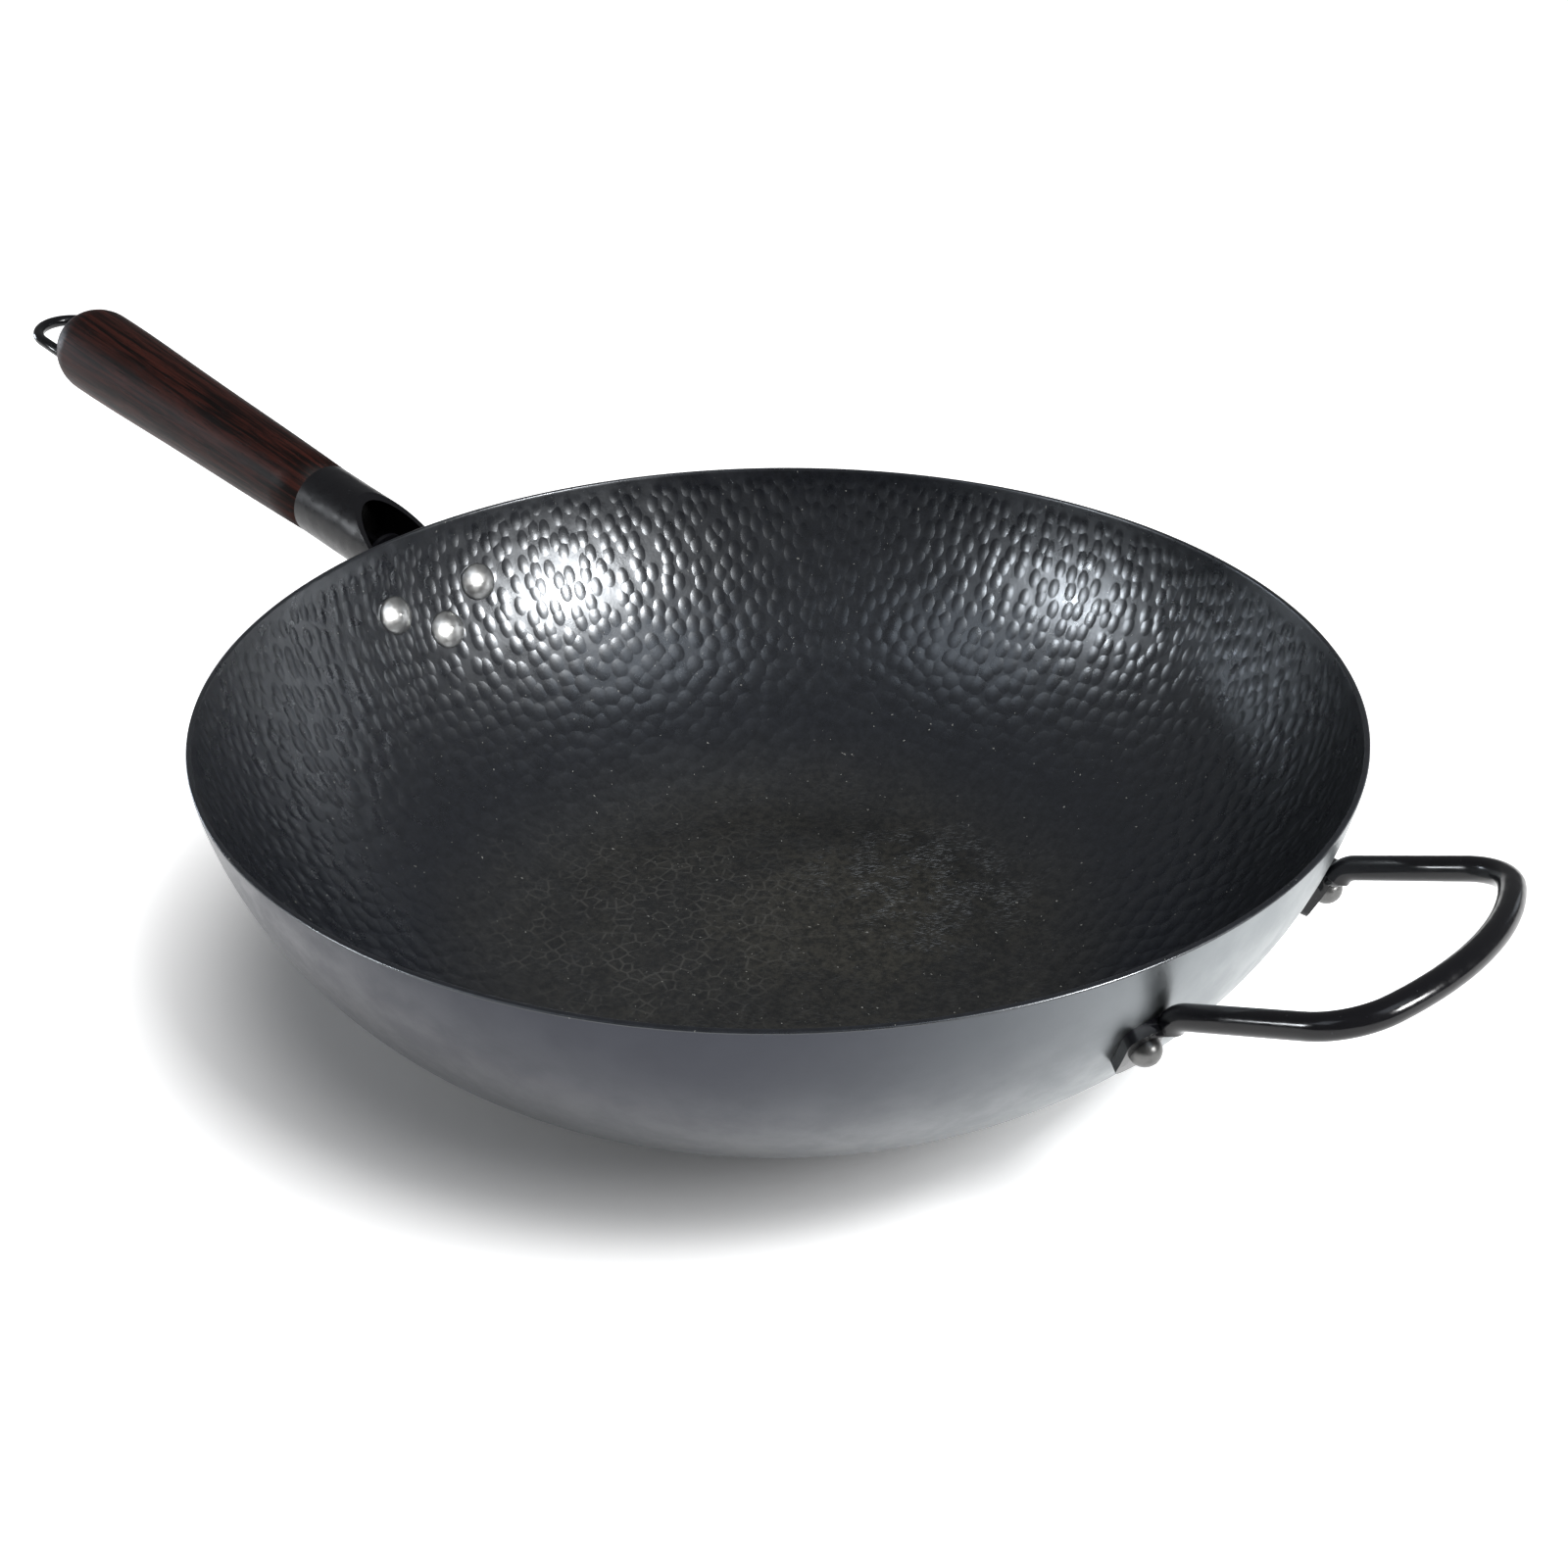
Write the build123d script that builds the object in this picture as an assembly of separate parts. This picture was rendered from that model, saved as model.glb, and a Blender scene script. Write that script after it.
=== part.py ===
"""A carbon steel wok, 32 cm across, with a wooden long handle and a rod helper handle.

Millimetres, +Z up. The origin is the centre of the flat base's underside, where the wok
stands. The long handle points along +X and the helper handle along -X. Each piece of the
wok is its own solid in its own node, and the rivets of one handle share a node.
"""
import math
import os
from collections import namedtuple

from build123d import *

# Bowl, pressed from one sheet: a flat base, a soft bend, then two arcs up to the rim.
# Each turn is how far the wall leans from the straight line from the base's edge to the rim
rim_radius = 160.0
bowl_depth = 92.0
base_radius = 69.7
bowl_wall = 1.6
base_bend_radius = 50.0
base_turn = -21.73
middle_turn = -7.53
rim_turn = 36.74
rim_edge_radius = 0.5

# Socket bracket of the long handle: a tube with an oblique mouth and a riveted plate
socket_radius = 12.6
socket_wall = 1.5
socket_reach = 49.0
socket_joint_drop = 2.4
handle_rise = 10.4
mouth_setback = 21.2
mouth_slope = 25.5
web_setback = 33.0
web_wall = 1.5
web_top_radius = 8.0
web_rise = 2.3
plate_wall = 1.5
plate_margin = 8.5
plate_flare_radius = 3.0

# Rivets of the long handle: two side by side and one below between them
upper_rivet_drop = 22.8
lower_rivet_drop = 33.4
upper_rivet_pitch = 35.2

# Rivet, the same for both handles apart from its outer end
rivet_shank_radius = 3.0
rivet_head_radius = 6.2
rivet_head_height = 2.9
rivet_head_edge = 0.8
tail_radius = 4.6
tail_height = 2.2
dome_radius = 4.0
dome_height = 4.0

# Wooden grip, turned round, with a tenon in the socket
grip_length = 150.7
grip_middle_radius = 14.9
grip_end_radius = 16.1
grip_end_round = 15.0
tenon_length = 18.0

# Screw from the socket's web into the tenon
screw_radius = 2.0
screw_drop = 3.4
screw_bite = 13.0
screw_head_radius = 4.2
screw_head_height = 2.4

# Hanging loop, a round wire bent to a U with both legs in the end of the grip
loop_wire_radius = 2.0
loop_bend_radius = 12.3
loop_standoff = 4.5
loop_leg_depth = 20.0

# Helper handle, a round rod with its two ends flattened on the wall
helper_rod_radius = 3.2
helper_reach = 44.2
helper_lift = 3.0
helper_rise = 22.8
helper_half_span = 40.0
helper_corner_radius = 17.0
helper_bar_radius = 73.0
helper_bend_radius = 6.5
helper_tail_length = 0.1
helper_flatten_length = 1.8
helper_foot_wall = 3.0
helper_foot_width = 10.5
helper_foot_end = 8.6
helper_foot_corner = 2.5
helper_foot_splay = 16.0
helper_rivet_drop = 26.8

# How far a cutting solid runs past what it cuts
cut_overrun = 5.0

# Share of the grip's length at which it reaches its middle radius
grip_middle_share = 0.56

# Share of each length by which the grip's radius grows where it leaves the socket
grip_swell_share = 0.04

# Share of the rod's radius within which the place of a leg's corner is found
corner_precision_share = 0.001

Arc = namedtuple("Arc", "centre_reach centre_height radius start_slope end_slope")


def arc_point(arc, slope, offset=0):
    """Point of the bowl's outer profile where its slope is the given one, moved outward."""
    angle = math.radians(slope)
    reach = arc.centre_reach + (arc.radius + offset) * math.sin(angle)
    height = arc.centre_height - (arc.radius + offset) * math.cos(angle)
    return Vector(reach, 0, height)


def next_arc(arc, radius, end_slope):
    """Arc that carries on from the end of another without a corner."""
    start = arc_point(arc, arc.end_slope)
    angle = math.radians(arc.end_slope)
    centre_reach = start.X - radius * math.sin(angle)
    centre_height = start.Z + radius * math.cos(angle)
    return Arc(centre_reach, centre_height, radius, arc.end_slope, end_slope)


def unit_step(start_slope, end_slope):
    """Reach and height that an arc of unit radius gains between two slopes."""
    start, end = math.radians(start_slope), math.radians(end_slope)
    return math.sin(end) - math.sin(start), math.cos(start) - math.cos(end)


def wall_arcs():
    """The base bend, the lower wall and the upper wall, which ends at the rim's edge.

    The radii of the two walls are the pair that takes them from the bend to the rim.
    """
    lean = math.degrees(math.atan2(bowl_depth, rim_radius - base_radius))
    bend_end, middle, top = lean + base_turn, lean + middle_turn, lean + rim_turn
    bend = Arc(base_radius, base_bend_radius, base_bend_radius, 0, bend_end)
    start = arc_point(bend, bend_end)
    reach, height = rim_radius - start.X, bowl_depth - start.Z
    lower_reach, lower_height = unit_step(bend_end, middle)
    upper_reach, upper_height = unit_step(middle, top)
    area = lower_reach * upper_height - upper_reach * lower_height
    lower = next_arc(bend, (reach * upper_height - upper_reach * height) / area, middle)
    upper = next_arc(lower, (lower_reach * height - reach * lower_height) / area, top)
    return bend, lower, upper


base_bend, lower_wall, upper_wall = wall_arcs()


def past_the_rim():
    """The upper wall carried on past the rim by the socket's width, for cutting."""
    further = math.degrees(2 * socket_radius / upper_wall.radius)
    return upper_wall._replace(end_slope=upper_wall.end_slope + further)


def profile_edges(offset, last):
    """Edges of the wall's profile from the base, moved outward by an offset.

    The last arc is the upper wall, or the upper wall carried on past the rim.
    """
    edges = []
    for arc in (base_bend, lower_wall, last):
        slopes = (arc.start_slope, (arc.start_slope + arc.end_slope) / 2, arc.end_slope)
        edges.append(ThreePointArc(*[arc_point(arc, slope, offset) for slope in slopes]))
    return edges


def revolved(edges):
    """Solid of revolution about the Z axis from the edges of a closed profile."""
    return revolve(Face(Wire(edges)), Axis.Z)


def bowl_sheet(inner, outer, last=upper_wall):
    """Sheet between two offsets of the bowl's outer surface, both given outward."""
    outside = profile_edges(outer, last)
    inside = profile_edges(inner, last)
    base = Line((0, 0, -outer), outside[0] @ 0)
    rim = Line(outside[-1] @ 1, inside[-1] @ 1)
    floor = Line(inside[0] @ 0, (0, 0, -inner))
    axis = Line((0, 0, -inner), (0, 0, -outer))
    return revolved([base, *outside, rim, *inside, floor, axis])


def bowl_filled(offset):
    """The space inside an offset of the bowl's outer surface, up past the rim."""
    outside = profile_edges(offset, past_the_rim())
    edge = outside[-1] @ 1
    base = Line((0, 0, -offset), outside[0] @ 0)
    lid = Line(edge, (0, 0, edge.Z))
    axis = Line((0, 0, edge.Z), (0, 0, -offset))
    return revolved([base, *outside, lid, axis])


def wall_place(across, height):
    """Plane on the outer wall at a distance across the X axis and a height, at +X.

    Its Z axis points out of the wall, its Y axis up the wall.
    """
    slope = math.degrees(math.acos((upper_wall.centre_height - height) / upper_wall.radius))
    reach = arc_point(upper_wall, slope).X
    around = math.asin(across / reach)
    tilt = math.radians(slope)
    radial = Vector(math.cos(around), math.sin(around), 0)
    outward = radial * math.sin(tilt) - Vector(0, 0, math.cos(tilt))
    sideways = Vector(-math.sin(around), math.cos(around), 0)
    point = radial * reach + Vector(0, 0, height)
    return Plane(origin=point, x_dir=sideways, z_dir=outward)


def handle_rivet_places():
    """The planes of the three rivets that hold the socket bracket."""
    upper = bowl_depth - upper_rivet_drop
    lower = bowl_depth - lower_rivet_drop
    half = upper_rivet_pitch / 2
    return [wall_place(-half, upper), wall_place(half, upper), wall_place(0, lower)]


def handle_plane():
    """Plane at the joint of wood and socket: X along the handle, Y up across it."""
    rise = math.radians(handle_rise)
    joint = (rim_radius + socket_reach, 0, bowl_depth - socket_joint_drop)
    return Plane(origin=joint, x_dir=(math.cos(rise), 0, math.sin(rise)), z_dir=(0, -1, 0))


handle = handle_plane()


def along_handle(radius, start, end, rise=0):
    """Round bar along the handle between two distances from the joint."""
    origin = handle.from_local_coords((start, rise, 0))
    section = Plane(origin=origin, x_dir=handle.z_dir, z_dir=handle.x_dir)
    return extrude(section * Circle(radius), end - start)


def across_handle(sketch_face, half_width):
    """Slab made by a face drawn in the handle's plane, as wide to both sides."""
    return extrude(handle * sketch_face, half_width, both=True)


def rivet_shank(place, outer):
    """Shank from within the inner head out to just past a plate on the wall's outer face."""
    start = -bowl_wall - rivet_head_edge
    length = outer + rivet_head_edge - start
    return extrude(place.offset(start) * Circle(rivet_shank_radius), length)


def domed_head(radius, height, edge):
    """Head that stands up from the XY plane: a short round edge, then a spherical cap."""
    cap = height - edge
    ball_radius = (radius * radius + cap * cap) / 2 / cap
    half_angle = math.asin(radius / ball_radius) / 2
    middle_height = height - ball_radius * (1 - math.cos(half_angle))
    middle = (ball_radius * math.sin(half_angle), 0, middle_height)
    outline = [
        Line((0, 0, -edge), (radius, 0, -edge)),
        Line((radius, 0, -edge), (radius, 0, edge)),
        ThreePointArc((radius, 0, edge), middle, (0, 0, height)),
        Line((0, 0, height), (0, 0, -edge)),
    ]
    return revolved(outline)


def rivet(place, plate, head_radius, head_height):
    """Rivet through the wall and a plate: the head inside, the other end outside."""
    inner = domed_head(rivet_head_radius, rivet_head_height, rivet_head_edge)
    inside = place.offset(-bowl_wall)
    turned = Plane(origin=inside.origin, x_dir=inside.x_dir, z_dir=-inside.z_dir)
    outer = domed_head(head_radius, head_height, rivet_head_edge)
    head = turned * inner & bowl_filled(-bowl_wall)
    end = place.offset(plate) * outer - bowl_filled(plate)
    return rivet_shank(place, plate) + head + end


def bowl():
    """The bowl's sheet with a rounded rim edge and a hole for each rivet."""
    sheet = bowl_sheet(-bowl_wall, 0)
    rim_edges = sheet.edges().filter_by(GeomType.CIRCLE).sort_by(Axis.Z)[-2:]
    sheet = fillet(rim_edges, rim_edge_radius)
    for place in handle_rivet_places():
        sheet -= rivet_shank(place, cut_overrun)
    for place in helper_rivet_places():
        sheet -= rivet_shank(place, cut_overrun)
    return sheet


def plate_outline():
    """Prism across the wall with the plate's outline: round the rivets and the socket."""
    middle = plate_middle()
    circles = Sketch()
    for place in handle_rivet_places():
        spot = middle.to_local_coords(place.origin)
        circles += Pos(spot.X, spot.Y) * Circle(plate_margin)
    prism = extrude(middle * make_hull(circles.edges()), upper_rivet_pitch, both=True)
    collar_radius = socket_radius + plate_flare_radius + plate_wall
    return prism + along_handle(collar_radius, -socket_reach - socket_radius - cut_overrun, 0)


def plate_middle():
    """Plane on the wall half way between the upper rivets and the lower one."""
    return wall_place(0, bowl_depth - (upper_rivet_drop + lower_rivet_drop) / 2)


def mouth_cut():
    """Everything above the oblique mouth of the socket, which falls towards the bowl."""
    fall = math.radians(mouth_slope)
    start = Vector(-mouth_setback, socket_radius, 0)
    length = 2 * socket_reach
    run = Vector(-math.cos(fall), -math.sin(fall), 0) * length
    back = -run * (socket_radius / length)
    lift = Vector(-math.sin(fall), math.cos(fall), 0) * (2 * socket_reach)
    corners = [start + back, start + run, start + run + lift, start + back + lift]
    return across_handle(Face(Wire.make_polygon(corners)), 2 * socket_radius)


def socket_web():
    """Cross web inside the socket with a round top, which carries the grip's screw."""
    bore = along_handle(socket_radius - socket_wall / 2, -web_setback - web_wall, -web_setback)
    top = along_handle(
        web_top_radius, -web_setback - web_wall, -web_setback, web_rise - web_top_radius
    )
    return bore & top


def flared(tube):
    """Join the tube to a patch of sheet on the wall and round the corner between them."""
    width = upper_rivet_pitch + socket_radius
    around = extrude(plate_middle() * Circle(width), upper_rivet_pitch, both=True)
    patch = bowl_sheet(0, plate_wall, past_the_rim()) & around
    joined = tube + patch
    seam = new_edges(tube, patch, combined=joined).sort_by(SortBy.LENGTH)
    return fillet(seam[-1], plate_flare_radius)


def handle_bracket():
    """Socket tube with an oblique mouth, its web, and the plate that is riveted on."""
    far_end = -socket_reach - rim_radius + base_radius
    tube = along_handle(socket_radius, far_end, 0) - bowl_filled(0)
    outside = flared(tube) & plate_outline()
    outside = outside - mouth_cut()
    bore = along_handle(socket_radius - socket_wall, far_end, cut_overrun)
    bracket = outside - bore + socket_web()
    bracket -= screw_shank(cut_overrun)
    for place in handle_rivet_places():
        bracket -= rivet_shank(place, cut_overrun)
    return bracket


def screw_shank(outer):
    """Shank of the grip's screw, from past the web's inner face into the tenon."""
    start = -web_setback - web_wall - outer
    return along_handle(screw_radius, start, -tenon_length + screw_bite, -screw_drop)


def grip_screw():
    """Screw with a domed head on the web, its point in the wood."""
    seat = handle.from_local_coords((-web_setback - web_wall, -screw_drop, 0))
    place = Plane(origin=seat, x_dir=handle.z_dir, z_dir=-handle.x_dir)
    head = domed_head(screw_head_radius, screw_head_height, screw_radius / 2)
    kept = extrude(place * Circle(2 * screw_head_radius), cut_overrun)
    return screw_shank(0) + (place * head & kept)


def grip_body():
    """Turned grip: it swells from the socket to its well rounded end."""
    shoulder = grip_length - grip_end_round
    end_flat = grip_end_radius - grip_end_round
    tenon_radius = socket_radius - socket_wall
    with BuildSketch(handle) as section:
        with BuildLine():
            Polyline((-tenon_length, 0), (-tenon_length, tenon_radius), (0, tenon_radius),
                     (0, socket_radius))
            Spline((0, socket_radius), (grip_middle_share * grip_length, grip_middle_radius),
                   (shoulder, grip_end_radius), tangents=((1, grip_swell_share), (1, 0)))
            CenterArc((shoulder, end_flat), grip_end_round, 0, 90)
            Polyline((grip_length, end_flat), (grip_length, 0), (-tenon_length, 0))
        make_face()
    return revolve(section.sketch, Axis(handle.origin, handle.x_dir))


def loop_legs_and_bend():
    """Wire of the hanging loop: a half circle past the grip's end, and two straight legs."""
    centre = grip_length + loop_standoff
    end = grip_length - loop_leg_depth
    spots = [(end, -1), (centre, -1), (centre, 1), (end, 1)]
    a, b, c, d = [handle.from_local_coords((x, 0, s * loop_bend_radius)) for x, s in spots]
    tip = handle.from_local_coords((centre + loop_bend_radius, 0, 0))
    path = Wire([Line(a, b), ThreePointArc(b, tip, c), Line(c, d)])
    return sweep(Plane(origin=a, z_dir=handle.x_dir) * Circle(loop_wire_radius), path=path)


def wood_grip():
    """Grip with the bores for the loop's legs and the screw."""
    return grip_body() - loop_legs_and_bend() - screw_shank(0)


def helper_point(inward, across):
    """Point of the plane that the helper's rod lies in, from the middle of its bar."""
    rise = math.radians(helper_rise)
    reach = rim_radius + helper_reach - inward * math.cos(rise)
    height = bowl_depth + helper_lift - inward * math.sin(rise)
    return Vector(reach, across, height)


def off_the_wall(point):
    """Distance of a point from the outer face of the upper wall."""
    reach = math.hypot(point.X, point.Y) - upper_wall.centre_reach
    return math.hypot(reach, point.Z - upper_wall.centre_height) - upper_wall.radius


def leg_corner():
    """Where a leg's centre line comes within a rod's radius of the wall, by halving."""
    near, far = 0, rim_radius
    while far - near > helper_rod_radius * corner_precision_share:
        middle = (near + far) / 2
        if off_the_wall(helper_point(middle, helper_half_span)) > helper_rod_radius:
            near = middle
        else:
            far = middle
    return helper_point(near, helper_half_span)


corner = leg_corner()


def foot_place(down):
    """Plane on the wall at a distance down the wall from the corner of a leg.

    Its Z axis points out of the wall, its Y axis up along the foot.
    """
    slope = math.acos((upper_wall.centre_height - corner.Z) / upper_wall.radius)
    fall = down / upper_wall.radius
    height = upper_wall.centre_height - upper_wall.radius * math.cos(slope - fall)
    across = corner.Y + (corner.Z - height) * math.tan(math.radians(helper_foot_splay))
    place = wall_place(across, height)
    return place.rotated((0, 0, helper_foot_splay))


def helper_rivet_down():
    """Distance down the wall from a leg's corner to its rivet."""
    rivet_height = bowl_depth - helper_rivet_drop
    angles = [
        math.acos((upper_wall.centre_height - height) / upper_wall.radius)
        for height in (corner.Z, rivet_height)
    ]
    return upper_wall.radius * (angles[0] - angles[1])


def to_helper_side(place):
    """A place at +X turned half round to the helper's side."""
    origin = Vector(-place.origin.X, -place.origin.Y, place.origin.Z)
    x_dir = Vector(-place.x_dir.X, -place.x_dir.Y, place.x_dir.Z)
    z_dir = Vector(-place.z_dir.X, -place.z_dir.Y, place.z_dir.Z)
    return Plane(origin=origin, x_dir=x_dir, z_dir=z_dir)


def helper_rivet_places():
    """The planes of the two rivets of the helper handle."""
    rivet_height = bowl_depth - helper_rivet_drop
    across = foot_place(helper_rivet_down()).origin.Y
    places = [wall_place(side * across, rivet_height) for side in (-1, 1)]
    return [to_helper_side(place) for place in places]


def leg_and_foot():
    """Directions away from a leg's corner: out along the leg and down the foot."""
    out = (helper_point(0, helper_half_span) - corner).normalized()
    return out, -foot_place(0).y_dir


def half_bend():
    """Half of the angle by which the rod turns at a leg's corner."""
    out, down = leg_and_foot()
    return math.radians(180 - out.get_angle(down)) / 2


def bend_cut():
    """Distance from a leg's corner to each end of the arc that rounds it."""
    return helper_bend_radius * math.tan(half_bend())


def bend_edges(leg_start):
    """Leg, round bend and short tail of the rod, from the end of the corner arc."""
    out, down = leg_and_foot()
    start = corner + out * bend_cut()
    end = corner + down * bend_cut()
    bisector = (out + down).normalized()
    reach = helper_bend_radius / math.cos(half_bend()) - helper_bend_radius
    arc = ThreePointArc(start, corner + bisector * reach, end)
    tail = Line(end, end + down * helper_tail_length)
    return [Line(leg_start, start), arc, tail]


def rod_half_edges():
    """Centre line of half the rod: half of the bar, corner arc, leg, bend and tail."""
    bar, turned, span = helper_bar_radius, helper_corner_radius, helper_half_span
    handover = math.asin((span - turned) / (bar - turned))
    centre_in = bar - (bar - turned) * math.cos(handover)

    def on_bar(angle):
        return helper_point(bar - bar * math.cos(angle), bar * math.sin(angle))

    def on_corner(angle):
        across = span - turned + turned * math.sin(angle)
        return helper_point(centre_in - turned * math.cos(angle), across)

    bar_arc = ThreePointArc(*[on_bar(share * handover) for share in (0, 1 / 2, 1)])
    middle = (handover + math.pi / 2) / 2
    corner_arc = ThreePointArc(on_corner(handover), on_corner(middle), on_corner(math.pi / 2))
    return [bar_arc, corner_arc, *bend_edges(on_corner(math.pi / 2))]


def helper_foot():
    """Flattened end of the rod on the wall, with a short wedge from round to flat."""
    wedge_start = bend_cut() + helper_tail_length
    wedge_end = wedge_start + helper_flatten_length
    strip_start = wedge_end - helper_foot_corner
    rivet_down = helper_rivet_down()
    length = rivet_down - strip_start + helper_foot_end
    outline = Pos(0, rivet_down - strip_start - length / 2) * RectangleRounded(
        helper_foot_width, length, helper_foot_corner
    )
    prism = extrude(foot_place(rivet_down) * outline, helper_foot_end, both=True)
    strip = bowl_sheet(0, helper_foot_wall) & prism
    upper = foot_place(0)
    round_end = Plane(
        origin=corner - upper.y_dir * wedge_start, x_dir=upper.x_dir, z_dir=upper.y_dir
    )
    lower = foot_place(wedge_end)
    flat_end = Plane(
        origin=lower.origin + lower.z_dir * (helper_foot_wall / 2),
        x_dir=lower.x_dir,
        z_dir=lower.y_dir,
    )
    flat = RectangleRounded(helper_foot_width, helper_foot_wall, helper_foot_wall / 3)
    return strip + loft([round_end * Circle(helper_rod_radius), flat_end * flat])


def helper_handle():
    """Bent rod with a flattened foot at each end, drilled for the rivets."""
    half = rod_half_edges()
    section = Plane(origin=half[0] @ 0, z_dir=half[0] % 0) * Circle(helper_rod_radius)
    side = sweep(section, path=Wire(half)) + helper_foot()
    whole = side + mirror(side, Plane.XZ) - bowl_filled(0)
    whole = whole.rotate(Axis.Z, 180)
    for place in helper_rivet_places():
        whole -= rivet_shank(place, 2 * cut_overrun)
    return whole


def handle_rivets():
    """Three separate rivets."""
    return [rivet(p, plate_wall, tail_radius, tail_height) for p in handle_rivet_places()]


def helper_rivets():
    """Two separate rivets with taller outer domes."""
    return [rivet(p, helper_foot_wall, dome_radius, dome_height) for p in helper_rivet_places()]


def write(name, solids):
    """Write one node, a single solid or a group of separate ones."""
    shape = Compound(children=solids) if isinstance(solids, list) else solids
    export_step(shape, f"parts/{name}.step")
    print(name, len(shape.solids()), "solid(s)", round(shape.volume, 1), "mm3")


def main():
    os.makedirs("parts", exist_ok=True)
    write("bowl", bowl())
    write("handle_bracket", handle_bracket())
    write("handle_rivets", handle_rivets())
    write("wood_grip", wood_grip())
    write("grip_screw", grip_screw())
    write("hanging_loop", loop_legs_and_bend())
    write("helper_handle", helper_handle())
    write("helper_rivets", helper_rivets())


if __name__ == "__main__":
    main()
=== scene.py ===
# %% [markdown]
# # A carbon steel wok, dressed around its CAD frame
#
# The wok is a pressed bowl of blued steel, hammered inside, with a riveted black socket
# and a turned rosewood grip on one side and a bent black rod on the other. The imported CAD
# model gives every piece its size and place, in metres. This script adds the finishes: it
# rebuilds the bowl with its hammer marks, smooths the other pieces and paints them all.

# %% Load the frame
import math

import bmesh
import bpy
import numpy as np
from mathutils import Matrix, Vector


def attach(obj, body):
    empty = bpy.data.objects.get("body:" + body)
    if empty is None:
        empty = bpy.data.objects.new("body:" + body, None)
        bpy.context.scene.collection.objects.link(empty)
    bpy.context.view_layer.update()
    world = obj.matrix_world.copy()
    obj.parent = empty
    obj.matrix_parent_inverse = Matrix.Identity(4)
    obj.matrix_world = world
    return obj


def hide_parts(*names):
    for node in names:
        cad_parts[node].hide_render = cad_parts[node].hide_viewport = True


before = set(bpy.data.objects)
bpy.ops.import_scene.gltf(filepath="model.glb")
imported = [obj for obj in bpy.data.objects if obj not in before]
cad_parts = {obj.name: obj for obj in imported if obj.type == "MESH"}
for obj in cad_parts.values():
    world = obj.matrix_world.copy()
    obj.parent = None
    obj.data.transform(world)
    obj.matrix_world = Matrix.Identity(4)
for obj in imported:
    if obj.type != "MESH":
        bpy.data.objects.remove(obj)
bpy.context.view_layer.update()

MM = 0.001

# %% [markdown]
# ## The camera
#
# The photograph looks down into the bowl over its near rim. The camera's distance and
# height above the rim's centre and its small turns were fitted to the rim, the rivets and
# the handles. The long handle points away to the left, so the whole view is turned about
# the bowl's axis to put the handle on +X. The same numbers could be typed into the camera
# by hand, but worked out from named angles they can be read and changed.

# %% Camera at the photograph's viewing angle
rim_height = 92.085 * MM
camera_distance = 521.57 * MM
camera_elevation = 0.47694
camera_pan = 0.0028
camera_tilt = -0.05706
camera_roll = 0.01007
handle_azimuth = math.radians(138.1)
focal_pixels = 1900
image_width_pixels = 1600
sensor_width_mm = 36


def camera_matrix():
    """Place and turn of the camera: first level at the rim's centre, then pan, tilt, roll."""
    flat = camera_distance * math.cos(camera_elevation)
    place = Vector((0, -flat, camera_distance * math.sin(camera_elevation) + rim_height))
    down_to_rim = Matrix.Rotation(math.pi / 2 - camera_elevation, 4, "X")
    pan = Matrix.Rotation(camera_pan, 4, "Y")
    tilt = Matrix.Rotation(camera_tilt, 4, "X")
    roll = Matrix.Rotation(camera_roll, 4, "Z")
    turned = down_to_rim @ (roll @ tilt.inverted() @ pan).inverted()
    to_object = Matrix.Rotation(-handle_azimuth, 4, "Z")
    return to_object @ Matrix.Translation(place) @ turned


camera_data = bpy.data.cameras.new("camera")
camera_data.sensor_width = sensor_width_mm
camera_data.lens = focal_pixels / image_width_pixels * sensor_width_mm
camera = bpy.data.objects.new("camera", camera_data)
camera.matrix_world = camera_matrix()
bpy.context.scene.collection.objects.link(camera)
bpy.context.scene.camera = camera
print("camera at", [round(v, 3) for v in camera.location], "lens", camera_data.lens)

# %% [markdown]
# ## Helpers for node materials
#
# A material is a small graph of nodes. Helpers keep the graphs short: one adds a node and
# fills its sockets, two do arithmetic, one maps a range of values smoothly to another, and
# one mixes colours. A value that is another node's socket becomes a link. The second cell
# builds on them with what every finish here needs: noise, the shaded point's place, a new
# material, its relief and its last links.

# %% Node helpers
mix_color_inputs = (6, 7)
mix_color_output = 2


def add(tree, kind, values=None, **settings):
    """Add a node, set its options, and give each named socket a number or a link."""
    made = tree.nodes.new(kind)
    for name, value in settings.items():
        setattr(made, name, value)
    for name, value in (values or {}).items():
        socket = made.inputs[name]
        if isinstance(value, bpy.types.NodeSocket):
            tree.links.new(value, socket)
        else:
            socket.default_value = value
    return made


def calc(tree, operation, first, second=0.0):
    """Arithmetic on one or two values."""
    return add(tree, "ShaderNodeMath", {0: first, 1: second}, operation=operation).outputs[0]


def vector_calc(tree, operation, *vectors):
    """Arithmetic on vectors; a distance, length or dot product comes out as one value."""
    made = add(tree, "ShaderNodeVectorMath", dict(enumerate(vectors)), operation=operation)
    single = operation in ("DISTANCE", "LENGTH", "DOT_PRODUCT")
    return made.outputs["Value" if single else "Vector"]


def smooth_map(tree, value, low, high, start=0.0, end=1.0):
    """Smooth step of a value from one range to another."""
    values = {"Value": value, "From Min": low, "From Max": high, "To Min": start, "To Max": end}
    made = add(tree, "ShaderNodeMapRange", values, interpolation_type="SMOOTHSTEP")
    return made.outputs["Result"]


def mix_colors(tree, share, first, second):
    """Colour that goes from the first to the second with the share."""
    made = add(tree, "ShaderNodeMix", {"Factor": share}, data_type="RGBA")
    for index, value in zip(mix_color_inputs, (first, second)):
        if isinstance(value, bpy.types.NodeSocket):
            tree.links.new(value, made.inputs[index])
        else:
            made.inputs[index].default_value = (*value, 1)
    return made.outputs[mix_color_output]


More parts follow.
